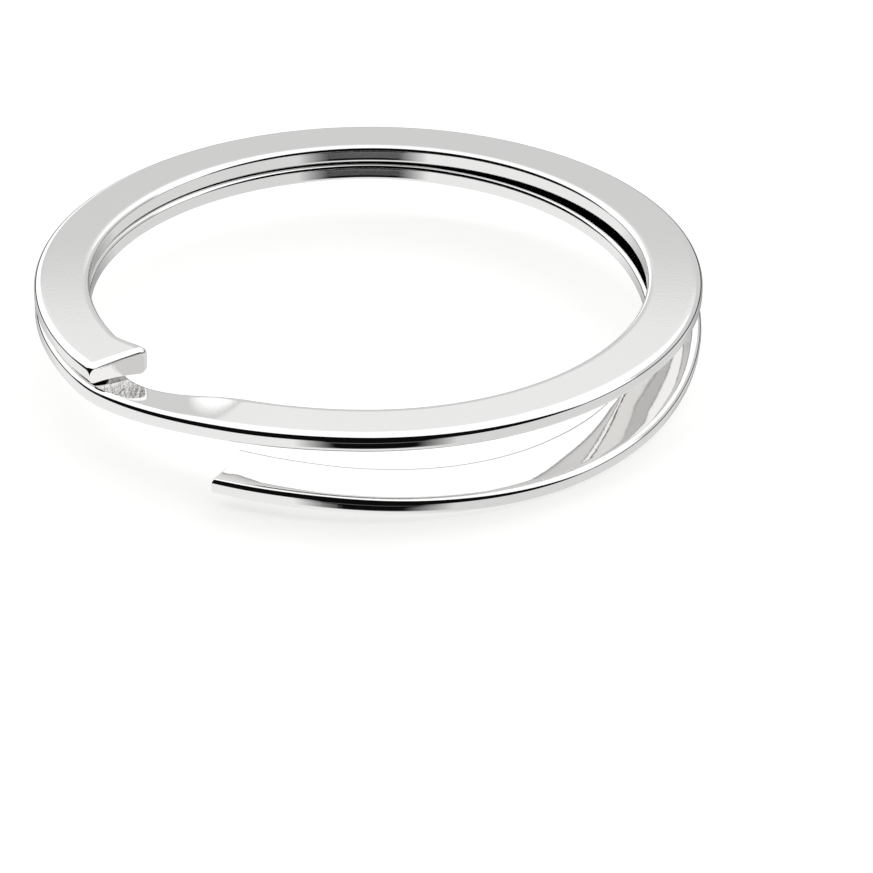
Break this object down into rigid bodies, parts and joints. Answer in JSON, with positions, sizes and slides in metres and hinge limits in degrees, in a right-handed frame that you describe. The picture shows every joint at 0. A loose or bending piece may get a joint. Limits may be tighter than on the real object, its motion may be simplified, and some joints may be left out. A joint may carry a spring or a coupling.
{
  "type": "split key ring",
  "caption": "Split key ring of flat polished wire coiled over itself, with a stepped crossover and its lower leaf sprung open for threading a key.",
  "frame": {"origin": "on the ring's own axis, level with the lowest point of the sprung lower leaf", "axes": "+Z along the ring's axis, towards the upper turn; -Y towards the crossover's start and the open side; +X to the right of it"},
  "size_m": [0.032, 0.032, 0.0046],
  "materials": {
    "polished_nickel": "bright nickel plate on spring steel, polished"
  },
  "bodies": {
    "ring": {"upper_turn_back_right": "polished_nickel", "upper_turn_right": "polished_nickel", "upper_turn_front_right": "polished_nickel", "upper_turn_front": "polished_nickel", "crossover_1": "polished_nickel", "crossover_2": "polished_nickel", "crossover_3": "polished_nickel", "crossover_4": "polished_nickel", "crossover_5": "polished_nickel", "crossover_6": "polished_nickel", "lower_turn_front_left": "polished_nickel", "lower_turn_left": "polished_nickel", "lower_turn_back_left": "polished_nickel", "lower_turn_back": "polished_nickel"},
    "leaf_link_1": {"leaf_link_1": "polished_nickel"},
    "leaf_link_2": {"leaf_link_2": "polished_nickel"},
    "leaf_link_3": {"leaf_link_3": "polished_nickel"},
    "leaf_link_4": {"leaf_link_4": "polished_nickel"},
    "leaf_link_5": {"leaf_link_5": "polished_nickel"},
    "leaf_link_6": {"leaf_link_6": "polished_nickel"},
    "leaf_link_7": {"leaf_link_7": "polished_nickel"},
    "leaf_link_8": {"leaf_link_8": "polished_nickel"},
    "leaf_link_9": {"leaf_link_9": "polished_nickel"},
    "lower_end": {"lower_end": "polished_nickel"},
    "pry_link_1": {"pry_link_1": "polished_nickel"},
    "pry_link_2": {"pry_link_2": "polished_nickel"},
    "pry_link_3": {"pry_link_3": "polished_nickel"},
    "pry_link_4": {"pry_link_4": "polished_nickel"},
    "pry_link_5": {"pry_link_5": "polished_nickel"},
    "upper_end": {"upper_end": "polished_nickel"}
  },
  "joints": [
    {"name": "leaf_flex_1", "type": "hinge", "parent": "ring", "child": "leaf_link_1", "pos_m": [0.0007, 0.01466, 0.00318], "axis": [0.2729, 0.962, 0], "range_deg": [-0.75, 0.3]},
    {"name": "leaf_opening", "type": "hinge", "parent": "leaf_link_1", "child": "leaf_link_2", "pos_m": [0.00603, 0.01338, 0.00311], "axis": [0.8869, -0.4619, -0.0128], "range_deg": [-4.66, 1.86], "stiffness_Nm_per_rad": 0.002, "springref_deg": -4.66},
    {"name": "leaf_flex_3", "type": "hinge", "parent": "leaf_link_2", "child": "leaf_link_3", "pos_m": [0.01051, 0.01024, 0.00298], "axis": [0.7144, -0.6989, -0.0351], "range_deg": [-3.13, 1.25]},
    {"name": "leaf_flex_4", "type": "hinge", "parent": "leaf_link_3", "child": "leaf_link_4", "pos_m": [0.01354, 0.00569, 0.00265], "axis": [0.0705, 0.9904, 0.1186], "range_deg": [-3, 1.2]},
    {"name": "leaf_flex_5", "type": "hinge", "parent": "leaf_link_4", "child": "leaf_link_5", "pos_m": [0.01469, 0.00038, 0.00203], "axis": [0.3042, 0.9455, 0.1159], "range_deg": [-6.49, 2.6]},
    {"name": "leaf_flex_6", "type": "hinge", "parent": "leaf_link_5", "child": "leaf_link_6", "pos_m": [0.01379, -0.00497, 0.00129], "axis": [0.6977, 0.7151, 0.0417], "range_deg": [-3.65, 1.46]},
    {"name": "leaf_flex_7", "type": "hinge", "parent": "leaf_link_6", "child": "leaf_link_7", "pos_m": [0.01098, -0.00964, 0.00077], "axis": [-0.6042, -0.7937, -0.0711], "range_deg": [-2.57, 1.03]},
    {"name": "leaf_flex_8", "type": "hinge", "parent": "leaf_link_7", "child": "leaf_link_8", "pos_m": [0.00666, -0.013, 0.00066], "axis": [-0.9146, -0.4032, 0.0299], "range_deg": [-4.83, 1.93]},
    {"name": "leaf_flex_9", "type": "hinge", "parent": "leaf_link_8", "child": "leaf_link_9", "pos_m": [0.00142, -0.01457, 0.0009], "axis": [-0.7785, -0.6277, -0.0011], "range_deg": [-1.05, 0.42]},
    {"name": "leaf_flex_10", "type": "hinge", "parent": "leaf_link_9", "child": "lower_end", "pos_m": [-0.00403, -0.0141, 0.00118], "axis": [0.7998, -0.5925, -0.0962], "range_deg": [-5.11, 2.04]},
    {"name": "pry_lift", "type": "hinge", "parent": "ring", "child": "pry_link_1", "pos_m": [0.00848, 0.01198, 0.00416], "axis": [-0.6919, 0.722, 0], "range_deg": [0, 1.88], "stiffness_Nm_per_rad": 0.002},
    {"name": "pry_flex_2", "type": "hinge", "parent": "pry_link_1", "child": "pry_link_2", "pos_m": [0.0015, 0.0146, 0.00416], "axis": [-0.8303, 0.5574, 0], "range_deg": [0, 1.79]},
    {"name": "pry_flex_3", "type": "hinge", "parent": "pry_link_2", "child": "pry_link_3", "pos_m": [-0.00586, 0.01345, 0.00416], "axis": [-0.9381, 0.3463, 0], "range_deg": [0, 1.6]},
    {"name": "pry_flex_4", "type": "hinge", "parent": "pry_link_3", "child": "pry_link_4", "pos_m": [-0.01171, 0.00884, 0.00416], "axis": [-0.9958, 0.0912, 0], "range_deg": [0, 1.29]},
    {"name": "pry_flex_5", "type": "hinge", "parent": "pry_link_4", "child": "pry_link_5", "pos_m": [-0.01455, 0.00195, 0.00416], "axis": [-0.9817, -0.1903, 0], "range_deg": [0, 0.8369]},
    {"name": "pry_flex_6", "type": "hinge", "parent": "pry_link_5", "child": "upper_end", "pos_m": [-0.01363, -0.00545, 0.00416], "axis": [-0.8837, -0.468, 0], "range_deg": [0, 0.291]}
  ],
  "couplings": [
    {"joint": "leaf_flex_1", "follows": "leaf_opening", "ratio": 0.16031},
    {"joint": "leaf_flex_3", "follows": "leaf_opening", "ratio": 0.6711},
    {"joint": "leaf_flex_4", "follows": "leaf_opening", "ratio": 0.6428},
    {"joint": "leaf_flex_5", "follows": "leaf_opening", "ratio": 1.3934},
    {"joint": "leaf_flex_6", "follows": "leaf_opening", "ratio": 0.78245},
    {"joint": "leaf_flex_7", "follows": "leaf_opening", "ratio": 0.55203},
    {"joint": "leaf_flex_8", "follows": "leaf_opening", "ratio": 1.0366},
    {"joint": "leaf_flex_9", "follows": "leaf_opening", "ratio": 0.2244},
    {"joint": "leaf_flex_10", "follows": "leaf_opening", "ratio": 1.0972},
    {"joint": "pry_flex_2", "follows": "pry_lift", "ratio": 0.95466},
    {"joint": "pry_flex_3", "follows": "pry_lift", "ratio": 0.85415},
    {"joint": "pry_flex_4", "follows": "pry_lift", "ratio": 0.68465},
    {"joint": "pry_flex_5", "follows": "pry_lift", "ratio": 0.44564},
    {"joint": "pry_flex_6", "follows": "pry_lift", "ratio": 0.15491}
  ]
}
